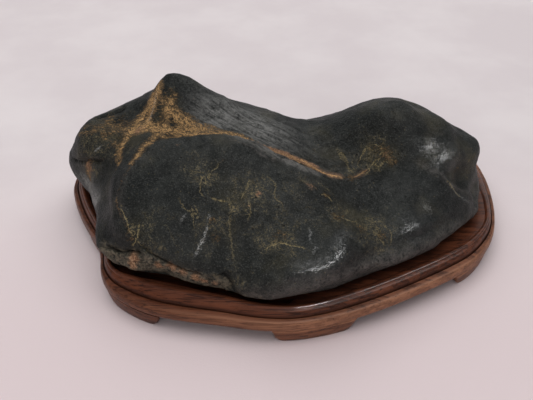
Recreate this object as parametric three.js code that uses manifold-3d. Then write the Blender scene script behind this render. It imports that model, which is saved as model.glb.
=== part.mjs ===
// Viewing stone resting in its carved wooden stand.
// Millimetres, +Z up, +X along the stone, -Y is the side the stone is shown from.
import * as THREE from 'three';
import { mergeVertices } from 'three/addons/utils/BufferGeometryUtils.js';
import Module from 'manifold-3d';

const wasm = await Module();
wasm.setup();

// ---------------------------------------------------------------- driving dimensions

const STONE_CENTRE = new THREE.Vector3(4, 10, 28);
const STONE_REACH = new THREE.Vector3(108, 68, 50);
const STONE_DETAIL = 12;
const SURVEY_SLACK = 3e-4;
const RELAX_ROUNDS = 8;
const RELAX_HOLD = 0.4;
const MERGE_REACH = 1e-4;

const FOOT_HEIGHT = 7;
const FOOT_TOP = 6.2;
const GLUE_GAP = 0.3;
const BOARD_BOTTOM = FOOT_TOP + GLUE_GAP;
const DECK_HEIGHT = 15.2;
const STATIONS = 96;
const SEAT_GAP = 0.4;
const POCKET_FLOOR = 10;
const POCKET_CUT_HEIGHT = 20;
const POCKET_RIM_POINTS = 48;
const BOARD_HUB = new THREE.Vector2(8, 0);

const FOOT_SETBACK = 0.4;
const FOOT_DEPTH = 12;
const FOOT_NOSE = 1.5;
const FOOT_END_RADIUS = 6;
const FOOT_NIB = 1.2;
const FOOT_SPANS = 10;
const FOOT_LAYERS = 3;

// ---------------------------------------------------------------- the stone's survey

// Points on the stone's skin, each [x, y, z], walked feature by feature.
const SURVEY = {
  ridgeLine: [
    [-107, 26, 35], [-105, 28, 42], [-100, 31, 50], [-95, 34, 54], [-86, 34, 58], [-78, 33, 62],
    [-63, 30, 70], [-57, 27, 77], [-54, 25, 83], [-48, 22, 88], [-44, 21, 89], [-39, 21, 88], [-34, 23, 81],
    [-30, 24, 76], [-24, 26, 72], [-14, 28, 67], [-3, 29, 64], [7, 29, 60], [18, 28, 57], [28, 27, 58],
    [41, 25, 64], [51, 23, 69], [63, 20, 73], [70, 19, 72], [78, 19, 68], [89, 19, 63],
    [98, 18, 57], [105, 17, 54], [110, 16, 50], [111, 14, 46], [110, 12, 38],
  ],
  rightEnd: [
    [111, 10, 31], [112, 8, 25], [112, 3, 20], [109, -2, 17],
  ],
  frontSkirt: [
    [99, -10, 16], [85, -25, 16], [73, -34, 16], [62, -40, 16], [52, -46, 16], [40, -53, 16],
    [33, -57, 16], [23, -61, 16], [15, -63, 17], [6, -66, 17], [-2, -67, 17], [-10, -67, 18],
    [-14, -64, 18], [-17, -61, 19], [-24, -60, 17], [-31, -58, 18], [-40, -56, 19],
    [-47, -53, 21], [-55, -51, 20], [-62, -50, 19], [-67, -48, 21], [-73, -45, 21],
  ],
  leftSkirt: [
    [-79, -42, 23], [-81, -36, 27], [-84, -26, 28], [-88, -10, 27], [-92, 6, 20], [-97, 15, 21],
    [-102, 20, 24], [-106, 24, 28],
  ],
  leftLobe: [
    [-95, 17, 51], [-87, 20, 56], [-85, 8, 51], [-95, 12, 42], [-101, 18, 35], [-91, 6, 39],
    [-95, 10, 30], [-82, 25, 59], [-77, 10, 55], [-74, -3, 51],
  ],
  leftFace: [
    [-82, 0, 44], [-84, -8, 37], [-83, -19, 32], [-76, -22, 40], [-75, -32, 37], [-78, -32, 33],
    [-74, -39, 29],
  ],
  leftArete: [[-57, -14, 61], [-61, -18, 59], [-65, -24, 56], [-68, -31, 50], [-68, -38, 43], [-69, -44, 36], [-68, -47, 29]],
  frontFace: [
    [-55, -27, 55], [-56, -40, 47], [-55, -50, 38], [-53, -54, 29], [-43, -22, 63], [-42, -33, 57],
    [-42, -45, 48], [-41, -54, 38], [-39, -59, 29], [-29, -26, 63], [-28, -39, 55], [-28, -50, 46],
    [-28, -59, 36], [-15, -28, 62], [-14, -40, 53], [-14, -50, 43], [-15, -60, 34], [-12, -67, 27],
    [-1, -30, 57], [-1, -41, 51], [-2, -50, 43], [-2, -59, 36], [-2, -69, 31], [-2, -71, 26],
  ],
  crest: [[-51, -12, 65], [-44, -11, 68], [-34, -11, 69], [-25, -10, 70], [-15, -10, 68], [-5, -13, 65], [4, -15, 61], [14, -17, 57], [26, -15, 51]],
  valley: [
    [-65, -2, 61], [-57, -1, 64], [-48, 3, 65], [-38, 4, 66], [-28, 4, 67], [-18, 2, 66],
    [-8, -2, 64], [2, -5, 61], [11, -8, 57], [21, -9, 53], [31, -11, 49], [39, -11, 47], [46, -9, 47],
  ],
  peakFlank: [
    [-71, 24, 62], [-67, 12, 61], [-60, 21, 70], [-59, 12, 66], [-51, 16, 78], [-50, 9, 72],
    [-43, 16, 81], [-43, 10, 74], [-33, 14, 76], [-31, 9, 70], [-21, 16, 72], [-21, 8, 69],
    [-11, 16, 68], [-11, 6, 66], [2, 15, 64], [2, 4, 62], [17, 16, 58], [17, 2, 57], [27, 10, 58], [29, -3, 54],
  ],
  rightHump: [
    [40, 12, 63], [40, 4, 56], [40, -4, 52], [50, 13, 71], [51, 9, 69], [52, 4, 62], [53, 0, 55],
    [63, 14, 74], [64, 9, 72], [65, 6, 69], [65, 2, 63], [66, -2, 57], [76, 12, 69], [77, 7, 66],
    [78, 2, 61], [79, -1, 56], [88, 11, 63], [89, 5, 61], [90, 1, 58], [91, -3, 54],
    [98, 10, 55], [99, 5, 52], [100, 1, 49],
  ],
  rightHollow: [
    [86, -6, 49], [95, -4, 45], [95, -8, 40], [99, -3, 37], [105, -1, 34], [106, 1, 28],
  ],
  plateau: [
    [53, -2, 51], [53, -12, 48], [66, -6, 50], [66, -14, 47], [80, -7, 49], [79, -13, 47],
    [38, -25, 45], [53, -22, 43], [68, -19, 44], [82, -15, 44], [88, -13, 43], [97, -12, 36],
    [105, -8, 27], [36, -38, 43], [51, -33, 39], [67, -29, 39], [79, -25, 37], [93, -19, 32],
  ],
  nose: [
    [13, -33, 54], [25, -32, 50], [11, -44, 47], [22, -45, 45], [34, -46, 43], [15, -54, 41],
    [24, -54, 41], [10, -66, 38], [21, -64, 39], [30, -58, 41], [35, -55, 42], [33, -62, 39],
    [28, -68, 36], [17, -71, 36], [8, -71, 35], [43, -49, 40], [42, -57, 35], [40, -60, 28], [24, -70, 29],
  ],
  frontRight: [[55, -43, 35], [55, -49, 30], [68, -36, 36], [68, -42, 31], [81, -31, 32], [78, -37, 28], [92, -23, 28], [62, -48, 27]],
  back: [
    [-100, 46, 34], [-82, 52, 40], [-62, 48, 56], [-44, 42, 70], [-44, 57, 42], [-24, 38, 66],
    [-22, 50, 52], [-3, 40, 57], [-8, 56, 36], [18, 40, 49], [16, 55, 32], [41, 38, 56], [46, 55, 38],
    [63, 34, 67], [64, 52, 46], [89, 31, 57], [90, 46, 38], [103, 28, 48], [106, 32, 34],
  ],
  backSkirt: [
    [-106, 40, 22], [-92, 52, 18], [-66, 60, 16], [-40, 63, 16], [-12, 63, 16], [18, 61, 16],
    [48, 60, 16], [76, 56, 16], [98, 44, 16], [110, 24, 17],
  ],
  underside: [
    [-60, -34, 14], [-34, -44, 13], [-8, -51, 13], [20, -49, 12], [46, -38, 12], [70, -22, 12],
    [92, -4, 13], [96, 20, 13], [74, 42, 12], [36, 48, 12], [0, 50, 12], [-38, 48, 12],
    [-70, 40, 13], [-84, 20, 14], [-78, -4, 15], [-70, -22, 15], [-100, 34, 17], [-84, -8, 19],
    [-79, -26, 20], [-75, -37, 19], [-60, 10, 12], [-45, -18, 12], [-20, -28, 12], [8, -28, 12],
    [35, -18, 12], [62, 0, 12], [80, 20, 12], [55, 28, 12], [25, 25, 12], [-5, 25, 12], [-35, 25, 12],
    [-62, 26, 12], [-30, 0, 12], [0, 0, 12], [30, 4, 12],
  ],
};

// ---------------------------------------------------------------- smooth skin through the survey

const bearing = (point) => point.clone().sub(STONE_CENTRE).divide(STONE_REACH);
const cubed = (distance) => distance ** 3;

function solve(matrix, right) {
  const n = right.length;
  for (let column = 0; column < n; column += 1) {
    let pivot = column;
    for (let row = column + 1; row < n; row += 1) {
      if (Math.abs(matrix[row][column]) > Math.abs(matrix[pivot][column])) pivot = row;
    }
    [matrix[column], matrix[pivot]] = [matrix[pivot], matrix[column]];
    [right[column], right[pivot]] = [right[pivot], right[column]];
    for (let row = column + 1; row < n; row += 1) {
      const factor = matrix[row][column] / matrix[column][column];
      for (let k = column; k < n; k += 1) matrix[row][k] -= factor * matrix[column][k];
      right[row] -= factor * right[column];
    }
  }
  for (let row = n - 1; row >= 0; row -= 1) {
    for (let k = row + 1; k < n; k += 1) right[row] -= matrix[row][k] * right[k];
    right[row] /= matrix[row][row];
  }
  return right;
}

function stoneSkin() {
  const rays = Object.values(SURVEY).flat().map((p) => bearing(new THREE.Vector3(...p)));
  const reach = rays.map((ray) => ray.length());
  const knots = rays.map((ray) => ray.clone().normalize());
  const slopes = knots.map((k) => [1, k.x, k.y, k.z]);
  const count = knots.length;
  const matrix = knots.map((a, i) => [
    ...knots.map((b, j) => cubed(a.distanceTo(b)) + (i === j ? SURVEY_SLACK : 0)),
    ...slopes[i],
  ]);
  for (let term = 0; term < 4; term += 1) {
    matrix.push([...slopes.map((slope) => slope[term]), 0, 0, 0, 0]);
  }
  const weights = solve(matrix, [...reach, 0, 0, 0, 0]);
  return (direction) => {
    const [base, tiltX, tiltY, tiltZ] = weights.slice(count);
    let radius = base + tiltX * direction.x + tiltY * direction.y + tiltZ * direction.z;
    knots.forEach((knot, i) => {
      radius += weights[i] * cubed(knot.distanceTo(direction));
    });
    return direction.clone().multiplyScalar(radius).multiply(STONE_REACH).add(STONE_CENTRE);
  };
}

function neighbours(index, count) {
  const near = Array.from({ length: count }, () => new Set());
  for (let i = 0; i < index.length; i += 3) {
    for (const [a, b] of [[0, 1], [1, 2], [2, 0]]) {
      near[index[i + a]].add(index[i + b]);
      near[index[i + b]].add(index[i + a]);
    }
  }
  return near.map((set) => [...set]);
}

function stoneGeometry() {
  const skin = stoneSkin();
  const ball = new THREE.IcosahedronGeometry(1, STONE_DETAIL);
  ball.deleteAttribute('normal');
  ball.deleteAttribute('uv');
  const geometry = mergeVertices(ball, MERGE_REACH);
  const position = geometry.getAttribute('position');
  const near = neighbours(geometry.index.array, position.count);
  let points = near.map((_, i) => skin(new THREE.Vector3().fromBufferAttribute(position, i).normalize()));
  for (let round = 0; round < RELAX_ROUNDS; round += 1) {
    points = near.map((ring, i) => {
      const mean = new THREE.Vector3();
      ring.forEach((j) => mean.add(points[j]));
      mean.divideScalar(ring.length).lerp(points[i], RELAX_HOLD);
      return skin(bearing(mean).normalize());
    });
  }
  points.forEach((p, i) => position.setXYZ(i, p.x, p.y, p.z));
  return geometry;
}

// ---------------------------------------------------------------- the stand's board

// Foot of the moulding: [x, y, run], run being how far the rim stands in from it there.
const OUTLINE = [
  [-110, 46, 6.5], [-110, 32, 6], [-106.4, 20, 5.5], [-100.4, 6, 5], [-93.5, -7, 4.5], [-87, -18, 4],
  [-83.5, -29, 4], [-81, -41, 4.5], [-76, -51, 6.5], [-67, -59.5, 9], [-55, -66.5, 10.5], [-42, -70.5, 10.5],
  [-22, -74, 9], [-4, -77, 7], [12, -77.3, 6], [27, -74.3, 6.5], [42, -69, 7.5], [58, -61.5, 8],
  [75, -52, 8], [92, -41.5, 8], [104, -32, 7], [113, -20.5, 5.5], [119.5, -8, 4.5], [124.2, 9, 5],
  [126.8, 28, 6], [127.3, 44, 7], [125.2, 60, 8], [116, 71, 8], [98, 75.5, 8], [60, 76, 8],
  [20, 75, 8], [-20, 75, 8], [-60, 74.5, 8], [-88, 70, 8], [-104, 60, 7.5],
];

// Moulding from the underside up and over the bead: [share of the run, height].
const MOULDING = [
  [0.2, BOARD_BOTTOM], [0.02, 6.8], [0, 8.2], [0.02, 10], [0.08, 11.3], [0.17, 11.8], [0.43, 12.2],
  [0.47, 11.8], [0.53, 12.4], [0.6, 14], [0.7, 15.1], [0.8, 15.5], [0.84, 16.1], [0.94, 16.6],
  [1.06, 16.6], [1.18, 16.1], [1.3, 15.8],
];

// Sunk pocket that clears the stone's overhanging left half.
const POCKET = [
  [-100, 34], [-97.5, 18], [-89.5, -1], [-80.5, -22], [-76, -38], [-70.5, -46.5], [-54, -51.5],
  [-35, -57.5], [-17, -63.5], [-3, -67.5], [8, -69.5], [14, -60], [-10, -40], [-45, -25], [-65, 0], [-80, 30],
];

const flatCurve = (points) => new THREE.CatmullRomCurve3(
  points.map(([x, y, run = 0]) => new THREE.Vector3(x, y, run)), true, 'centripetal',
);
const outline = flatCurve(OUTLINE);

// Outline point at share u of the way round, with its inward direction and its run.
function station(u) {
  const at = outline.getPointAt(u);
  const along = outline.getTangentAt(u);
  const inward = new THREE.Vector2(-along.y, along.x).normalize();
  return { foot: new THREE.Vector2(at.x, at.y), inward, run: at.z };
}

function inset(u, distance) {
  const { foot, inward } = station(u);
  return foot.addScaledVector(inward, distance);
}

function mouldedBoard() {
  const profile = [[null, BOARD_BOTTOM], ...MOULDING, [null, DECK_HEIGHT]];
  const board = new THREE.LatheGeometry(
    profile.map(([share, height]) => new THREE.Vector2(share === null ? 0 : 2 - share, height)), STATIONS,
  );
  const position = board.getAttribute('position');
  for (let i = 0; i <= STATIONS; i += 1) {
    const u = (i % STATIONS) / STATIONS;
    const { run } = station(u);
    profile.forEach(([share, height], j) => {
      const spot = share === null ? BOARD_HUB : inset(u, share * run);
      position.setXYZ(i * profile.length + j, spot.x, spot.y, height);
    });
  }
  return board;
}

function pocketBlock() {
  const rim = flatCurve(POCKET).getPoints(POCKET_RIM_POINTS).map((p) => new THREE.Vector2(p.x, p.y));
  rim.pop();
  const cut = { depth: POCKET_CUT_HEIGHT, bevelEnabled: false };
  const block = new THREE.ExtrudeGeometry(new THREE.Shape(rim), cut);
  return block.translate(0, 0, POCKET_FLOOR);
}

// ---------------------------------------------------------------- feet

// Share of the way round the outline where each foot starts and ends.
const FEET = {
  foot_left: [0.085, 0.12],
  foot_front_left: [0.156, 0.208],
  foot_front_centre: [0.29, 0.352],
  foot_front_right: [0.444, 0.483],
  foot_back_right: [0.61, 0.65],
  foot_back_centre: [0.775, 0.83],
  foot_back_left: [0.945, 0.985],
};

function footGeometry(from, to) {
  const block = new THREE.BoxGeometry(1, 1, 1, FOOT_SPANS, 1, FOOT_LAYERS).translate(0.5, 0.5, 0.5);
  block.deleteAttribute('normal');
  block.deleteAttribute('uv');
  const foot = mergeVertices(block, MERGE_REACH);
  const position = foot.getAttribute('position');
  const start = inset(from, FOOT_SETBACK);
  const end = inset(to, FOOT_SETBACK);
  const length = start.distanceTo(end);
  for (let i = 0; i < position.count; i += 1) {
    const along = position.getX(i);
    const depth = position.getY(i);
    const rise = position.getZ(i);
    const toEnd = Math.min(along, 1 - along) * length;
    const short = Math.max(0, FOOT_END_RADIUS - toEnd) / FOOT_END_RADIUS;
    const lift = (FOOT_HEIGHT - FOOT_NIB) * (1 - Math.sqrt(1 - short ** 2));
    const nose = depth === 0 ? FOOT_NOSE * (1 - rise) ** 2 : 0;
    const spot = inset(from + along * (to - from), FOOT_SETBACK + nose + depth * FOOT_DEPTH);
    position.setXYZ(i, spot.x, spot.y, FOOT_TOP - (1 - rise) * (FOOT_HEIGHT - lift));
  }
  return foot;
}

// ---------------------------------------------------------------- joins and cuts

function solid(geometry) {
  const bare = geometry.clone();
  bare.deleteAttribute('normal');
  bare.deleteAttribute('uv');
  const merged = mergeVertices(bare, MERGE_REACH);
  return new wasm.Manifold(new wasm.Mesh({
    numProp: 3,
    vertProperties: new Float32Array(merged.getAttribute('position').array),
    triVerts: new Uint32Array(merged.index.array),
  }));
}

function geometryOf(manifold) {
  const mesh = manifold.getMesh();
  const geometry = new THREE.BufferGeometry();
  geometry.setAttribute('position', new THREE.BufferAttribute(mesh.vertProperties, 3));
  geometry.setIndex(new THREE.BufferAttribute(mesh.triVerts, 1));
  return geometry;
}

// The stone grown by the seat gap all over, as a template for the seat.
function grownStone(stoneShape) {
  const grown = stoneShape.clone();
  grown.computeVertexNormals();
  const position = grown.getAttribute('position');
  const normal = grown.getAttribute('normal');
  const point = new THREE.Vector3();
  const away = new THREE.Vector3();
  for (let i = 0; i < position.count; i += 1) {
    away.fromBufferAttribute(normal, i);
    point.fromBufferAttribute(position, i).addScaledVector(away, SEAT_GAP);
    position.setXYZ(i, point.x, point.y, point.z);
  }
  return grown;
}

// ---------------------------------------------------------------- the whole piece

const darkStone = new THREE.MeshStandardMaterial({ color: 0x2a2e2b, roughness: 0.4, metalness: 0 });
const rosewood = new THREE.MeshStandardMaterial({ color: 0x5a3424, roughness: 0.45, metalness: 0 });

function piece(name, geometry, material) {
  const mesh = new THREE.Mesh(geometry, material.clone());
  mesh.name = name;
  return mesh;
}

const model = new THREE.Group();
const stoneShape = stoneGeometry();
const seated = solid(mouldedBoard()).subtract(solid(grownStone(stoneShape))).subtract(solid(pocketBlock()));
model.add(piece('stone', stoneShape, darkStone));
model.add(piece('stand', geometryOf(seated), rosewood));
Object.entries(FEET).forEach(([name, [from, to]]) => {
  model.add(piece(name, footGeometry(from, to), rosewood));
});

// The origin is on the ground under the middle of the whole piece.
const box = new THREE.Box3().setFromObject(model);
model.position.set(-(box.min.x + box.max.x) / 2, -(box.min.y + box.max.y) / 2, -box.min.z);

export default model;
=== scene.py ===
# %% [markdown]
# # A dark viewing stone on its rosewood stand
# The object has two parts to dress: one hand-waxed stone and a low carved stand on short feet.
# The measured model fixes where both are. This lesson opens that model, then makes a finer stone,
# a finer board and finer feet over it, each with a finish made of nodes.

import math

import bmesh
import bpy
import numpy as np
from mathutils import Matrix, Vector, noise


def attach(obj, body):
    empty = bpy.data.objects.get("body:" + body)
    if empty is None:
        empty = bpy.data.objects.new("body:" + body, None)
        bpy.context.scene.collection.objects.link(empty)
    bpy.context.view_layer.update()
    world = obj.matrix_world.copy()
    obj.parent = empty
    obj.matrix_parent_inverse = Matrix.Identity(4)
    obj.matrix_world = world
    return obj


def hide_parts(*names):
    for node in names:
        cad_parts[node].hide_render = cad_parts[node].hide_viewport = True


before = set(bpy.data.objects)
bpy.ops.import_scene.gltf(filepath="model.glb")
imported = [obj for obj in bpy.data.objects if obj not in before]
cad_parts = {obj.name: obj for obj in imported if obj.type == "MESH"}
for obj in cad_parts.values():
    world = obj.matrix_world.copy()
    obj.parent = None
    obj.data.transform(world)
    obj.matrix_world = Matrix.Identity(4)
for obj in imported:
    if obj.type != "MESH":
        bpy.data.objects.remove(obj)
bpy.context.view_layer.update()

MM = 0.001
SCENE = bpy.context.scene

# %% [markdown]
# ## Where the viewer stands
# A small object looks its real size when the lens is a normal one and the eye is close, here about
# 38 cm away and looking down at 35 degrees. The camera is placed by that distance and angle from
# a point inside the stone, so it is easy to check against a ruler.

# %% Camera
EYE_DISTANCE = 381.5 * MM
EYE_ANGLE = math.radians(35)
LOOK_AT = Vector((-8.4, 0.6, 25.8)) * MM
LENS_MM = 49.3

camera = bpy.data.objects.new("camera", bpy.data.cameras.new("camera"))
SCENE.collection.objects.link(camera)
eye_line = Vector((0, -math.cos(EYE_ANGLE), math.sin(EYE_ANGLE)))
camera.location = LOOK_AT + eye_line * EYE_DISTANCE
camera.rotation_euler = eye_line.to_track_quat("Z", "Y").to_euler()
camera.data.lens = LENS_MM
camera.data.clip_start = 0.01
SCENE.camera = camera
print("eye at", [round(v, 4) for v in camera.location])

# %% [markdown]
# ## Table and light
# The stone stands on a pale cloth-covered table in a bright room. Three broad soft panels light it
# from above, from behind and weakly from the front, so its shadows are faint. Wax and oil also
# mirror small bright things, so three small panels exist only in reflections: they make the crisp
# marks on the nose, the hump and the bead of the stand without adding any light of their own.

# %% Table
TABLE_REACH = 4.0


def new_piece(name):
    """An empty piece, in the scene and ready for its mesh."""
    piece = bpy.data.objects.new(name, bpy.data.meshes.new(name))
    SCENE.collection.objects.link(piece)
    return piece


table = new_piece("table")
mesh = bmesh.new()
bmesh.ops.create_grid(mesh, x_segments=1, y_segments=1, size=TABLE_REACH)
mesh.to_mesh(table.data)
mesh.free()
print("table top at height", table.location.z)


# %% Lights
def soft_panel(name, place, aim, size, watts):
    """A rectangular lamp at a place, facing the point it is aimed at."""
    lamp = bpy.data.lights.new(name, "AREA")
    lamp.shape = "RECTANGLE"
    lamp.size, lamp.size_y = size
    lamp.energy = watts
    holder = bpy.data.objects.new(name, lamp)
    holder.location = place
    holder.rotation_euler = (Vector(place) - Vector(aim)).to_track_quat("Z", "Y").to_euler()
    SCENE.collection.objects.link(holder)
    print(name, watts, "W")
    return holder


FRONT_BEAD = (0.02, -0.06, 0.02)
soft_panel("back_panel", (0.1, 1.5, 0.9), (0, 0, 0.05), (2.4, 1.2), 7)
ceiling = soft_panel("ceiling_light", (-0.1, 0.1, 1.5), (0, 0, 0), (2.6, 2.4), 29)
front = soft_panel("front_panel", (-0.3, -1.6, 0.6), (0, 0, 0.02), (1.8, 0.9), 9)
for lamp in (ceiling, front):
    lamp.visible_glossy = False
window = soft_panel("window", (0.66, -0.16, 0.66), (0.02, -0.02, 0.04), (0.24, 0.18), 2.3)
skylight = soft_panel("skylight", (0.02, 0.52, 0.95), FRONT_BEAD, (0.36, 0.2), 1.5)
glint = soft_panel("glint", (0.345, -0.52, 0.785), FRONT_BEAD, (0.30, 0.06), 4.2)
for lamp in (window, skylight, glint):
    lamp.visible_diffuse = False

world = bpy.data.worlds.new("room")
SCENE.world = world
world.use_nodes = True
room = world.node_tree.nodes["Background"]
room.inputs["Color"].default_value = (0.95, 0.97, 1.0, 1)
room.inputs["Strength"].default_value = 0.14
SCENE.view_settings.view_transform = "Standard"

# %% [markdown]
# ## A way to write finishes
# A finish is a sum of patterns, and sums read best as sums. The class below wraps one output of a
# node, so that adding, multiplying or comparing it adds the right Math node behind the scenes.
# Every other node comes from one method, which takes its kind, its settings and its inputs.


# %% Finish writer
class Wire:
    """One value travelling through a finish."""

    def __init__(self, tree, socket):
        self.tree = tree
        self.socket = socket

    def add_node(self, kind, settings=None, inputs=None, out=0):
        """Any node: its kind, its settings, and the values or links of its sockets."""
        node = self.tree.nodes.new(kind)
        for key, value in (settings or {}).items():
            setattr(node, key, value)
        for key, value in (inputs or {}).items():
            if isinstance(value, Wire):
                self.tree.links.new(value.socket, node.inputs[key])
            else:
                node.inputs[key].default_value = value
        return Wire(self.tree, node.outputs[out])

    def sum_node(self, operation, first, second=0.0):
        return self.add_node("ShaderNodeMath", {"operation": operation}, {0: first, 1: second})

    def __add__(self, other):
        return self.sum_node("ADD", self, other)

    def __radd__(self, other):
        return self.sum_node("ADD", other, self)

    def __sub__(self, other):
        return self.sum_node("SUBTRACT", self, other)

    def __rsub__(self, other):
        return self.sum_node("SUBTRACT", other, self)

    def __mul__(self, other):
        return self.sum_node("MULTIPLY", self, other)

    def __rmul__(self, other):
        return self.sum_node("MULTIPLY", other, self)

    def __abs__(self):
        return self.sum_node("ABSOLUTE", self)

    def lowest(self, other):
        return self.sum_node("MINIMUM", self, other)

    def highest(self, other):
        return self.sum_node("MAXIMUM", self, other)

    def step(self, low, high):
        """0 below low, 1 above high, smooth between."""
        inputs = {"Value": self, "From Min": low, "From Max": high}
        return self.add_node("ShaderNodeMapRange", {"interpolation_type": "SMOOTHSTEP"}, inputs)

    def blend(self, first, second):
        """first where this is 0, second where it is 1."""
        settings = {"data_type": "RGBA", "clamp_factor": True}
        return self.add_node("ShaderNodeMix", settings, {"Factor": self, 6: first, 7: second}, out=2)

    def stretched(self, scale):
        return self.add_node("ShaderNodeMapping", None, {"Vector": self, "Scale": scale})

    def turned(self, axis, degrees):
        turn = [math.radians(degrees) if letter == axis else 0.0 for letter in "XYZ"]
        return self.add_node("ShaderNodeMapping", None, {"Vector": self, "Rotation": turn})

    def clouds(self, scale, detail=4.0, roughness=0.55, twist=0.0):
        inputs = {"Vector": self, "Scale": scale, "Detail": detail, "Roughness": roughness}
        return self.add_node("ShaderNodeTexNoise", None, inputs | {"Distortion": twist})

    def cells(self, scale):
        return self.add_node("ShaderNodeTexVoronoi", None, {"Vector": self, "Scale": scale})

    def axis(self, letter):
        return self.add_node("ShaderNodeSeparateXYZ", None, {"Vector": self}, out=letter)

    def attribute(self, name):
        return self.add_node("ShaderNodeAttribute", {"attribute_name": name}, out="Fac")


def new_finish(name, specular):
    """An empty Principled finish: the material, its shader, and positions in millimetres."""
    material = bpy.data.materials.new(name)
    material.use_nodes = True
    tree = material.node_tree
    shader = tree.nodes["Principled BSDF"]
    shader.inputs["Specular IOR Level"].default_value = specular
    metres = Wire(tree, None).add_node("ShaderNodeTexCoord", out="Object")
    place = metres.stretched((1 / MM, 1 / MM, 1 / MM))
    return material, shader, place


def feed(shader, name, wire):
    wire.tree.links.new(wire.socket, shader.inputs[name])


def bump(height, distance, strength=1.0):
    """A normal that leans with the height, whose full swing is the distance in metres."""
    inputs = {"Height": height, "Distance": distance, "Strength": strength}
    return height.add_node("ShaderNodeBump", None, inputs)


print("finish writer ready, for example Wire.step and Wire.blend")

# %% [markdown]
# ## The table's cloth
# The table is covered in a smooth pale cloth, pinker towards the viewer, where it is also painted
# a little darker as shade. It only needs a faint cloudiness, so that it doesn't look like a perfect
# card, and no gloss.

# %% Cloth finish
CLOTH_PALE = (0.74, 0.675, 0.68, 1)
CLOTH_SHADE = (0.68, 0.61, 0.62, 1)
# the front colour: pinker, and painted darker as shade
CLOTH_PINK_SHADED = (0.72, 0.605, 0.615, 1)
PINKEST, PALEST = -90, 120

cloth, cloth_shader, place = new_finish("table_cloth", specular=0.15)
towards_back = place.axis("Y").step(PINKEST, PALEST)
weave = place.clouds(0.012).step(0.35, 0.7).blend(CLOTH_SHADE, CLOTH_PALE)
feed(cloth_shader, "Base Color", towards_back.blend(CLOTH_PINK_SHADED, weave))
cloth_shader.inputs["Roughness"].default_value = 0.85
feed(cloth_shader, "Normal", bump(place.clouds(0.9, detail=2.0), 0.00006))
table.data.materials.append(cloth)
print("cloth:", len(cloth.node_tree.nodes), "nodes")

# %% [markdown]
# ## The stone's body
# The measured stone is a mesh of loose triangles, right in shape but coarse. Merging its doubles
# closes it, and two rounds of a Subdivision Surface round the facets away. Rounding pulls every
# peak in a little, so the corners are first pushed out until the rounded skin passes through them.

# %% Closed copy of the stone
MERGE_REACH = 1e-6

stone = bpy.data.objects.new("waxed_stone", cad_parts["stone"].data.copy())
stone.data.materials.clear()
SCENE.collection.objects.link(stone)
mesh = bmesh.new()
mesh.from_mesh(stone.data)
bmesh.ops.remove_doubles(mesh, verts=mesh.verts, dist=MERGE_REACH)
mesh.to_mesh(stone.data)
mesh.free()
print("measured stone:", len(stone.data.vertices), "corners")

# %% Rounded copy of the stone
ROUNDINGS = 2
PULL_ROUNDS = 4


def rows(vertices, name):
    """One property of all the vertices, as rows of three numbers."""
    values = np.empty(len(vertices) * 3)
    vertices.foreach_get(name, values)
    return values.reshape(-1, 3)


def modified_mesh(piece):
    """A new mesh: what the piece's modifiers make of it."""
    return bpy.data.meshes.new_from_object(piece.evaluated_get(bpy.context.evaluated_depsgraph_get()))


def settle_modifiers(piece):
    """Swaps a piece's mesh for what its modifiers make of it."""
    finished = modified_mesh(piece)
    piece.modifiers.clear()
    old = piece.data
    piece.data = finished
    bpy.data.meshes.remove(old)


coarse = rows(stone.data.vertices, "co")
rounding = stone.modifiers.new("rounding", "SUBSURF")
rounding.levels = rounding.render_levels = ROUNDINGS
control = coarse.copy()
for _ in range(PULL_ROUNDS):
    rounded = modified_mesh(stone)
    control += coarse - rows(rounded.vertices, "co")[:len(coarse)]
    bpy.data.meshes.remove(rounded)
    stone.data.vertices.foreach_set("co", control.ravel())
    stone.data.update()
settle_modifiers(stone)
print("stone:", len(stone.data.polygons), "faces")

# %% [markdown]
# ## Marks that follow a line
# Cracks, ridges, veins and patches all follow a line drawn over the stone. Each line below is a
# few points on the stone's skin, in millimetres. The helper finds how far every point of the skin
# lies from such a line, on which side, and how far along, and the tools after it use those three.

# %% Line helper
POINTS_PER_SPAN = 6


def skin(piece):
    """The points of a piece's skin in millimetres, and its normals there."""
    return rows(piece.data.vertices, "co") / MM, rows(piece.data.vertices, "normal")


def smooth_line(points):
    """More points along the same line, rounded at its corners."""
    points = np.array(points, float)
    if len(points) < 3:
        return points
    padded = np.vstack([2 * points[0] - points[1], points, 2 * points[-1] - points[-2]])
    share = np.linspace(0, 1, POINTS_PER_SPAN, endpoint=False)[:, None]
    spans = []
    for before, start, end, after in zip(padded, padded[1:], padded[2:], padded[3:]):
        spans.append(0.5 * (2 * start + (end - before) * share
                            + (2 * before - 5 * start + 4 * end - after) * share ** 2
                            + (3 * start - before - 3 * end + after) * share ** 3))
    return np.vstack(spans + [points[-1:]])


def along_line(points, normals, line):
    """Distance to the line, side of it (left is positive) and share of the way along it."""
    line = smooth_line(line)
    nearest = np.full(len(points), np.inf)
    side = np.zeros(len(points))
    along = np.zeros(len(points))
    lengths = np.linalg.norm(np.diff(line, axis=0), axis=1)
    run = np.concatenate([[0], np.cumsum(lengths)])
    for start, end, length, behind in zip(line, line[1:], lengths, run):
        way = (end - start) / max(length, 1e-9)
        reach = np.clip((points - start) @ way, 0, length)
        off = points - start - reach[:, None] * way
        distance = np.linalg.norm(off, axis=1)
        closer = distance < nearest
        nearest[closer] = distance[closer]
        leftward = np.cross(normals[closer], way)
        side[closer] = np.sign(np.einsum("ij,ij->i", off[closer], leftward))
        along[closer] = (behind + reach[closer]) / run[-1]
    return nearest, side, along


def length_of(line):
    """The length of a line in millimetres."""
    return round(float(np.linalg.norm(np.diff(np.array(line, float), axis=0), axis=1).sum()), 1)


def eased(value, low, high):
    """0 below low, 1 above high, smooth between."""
    share = np.clip((value - low) / (high - low), 0, 1)
    return share * share * (3 - 2 * share)


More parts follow.
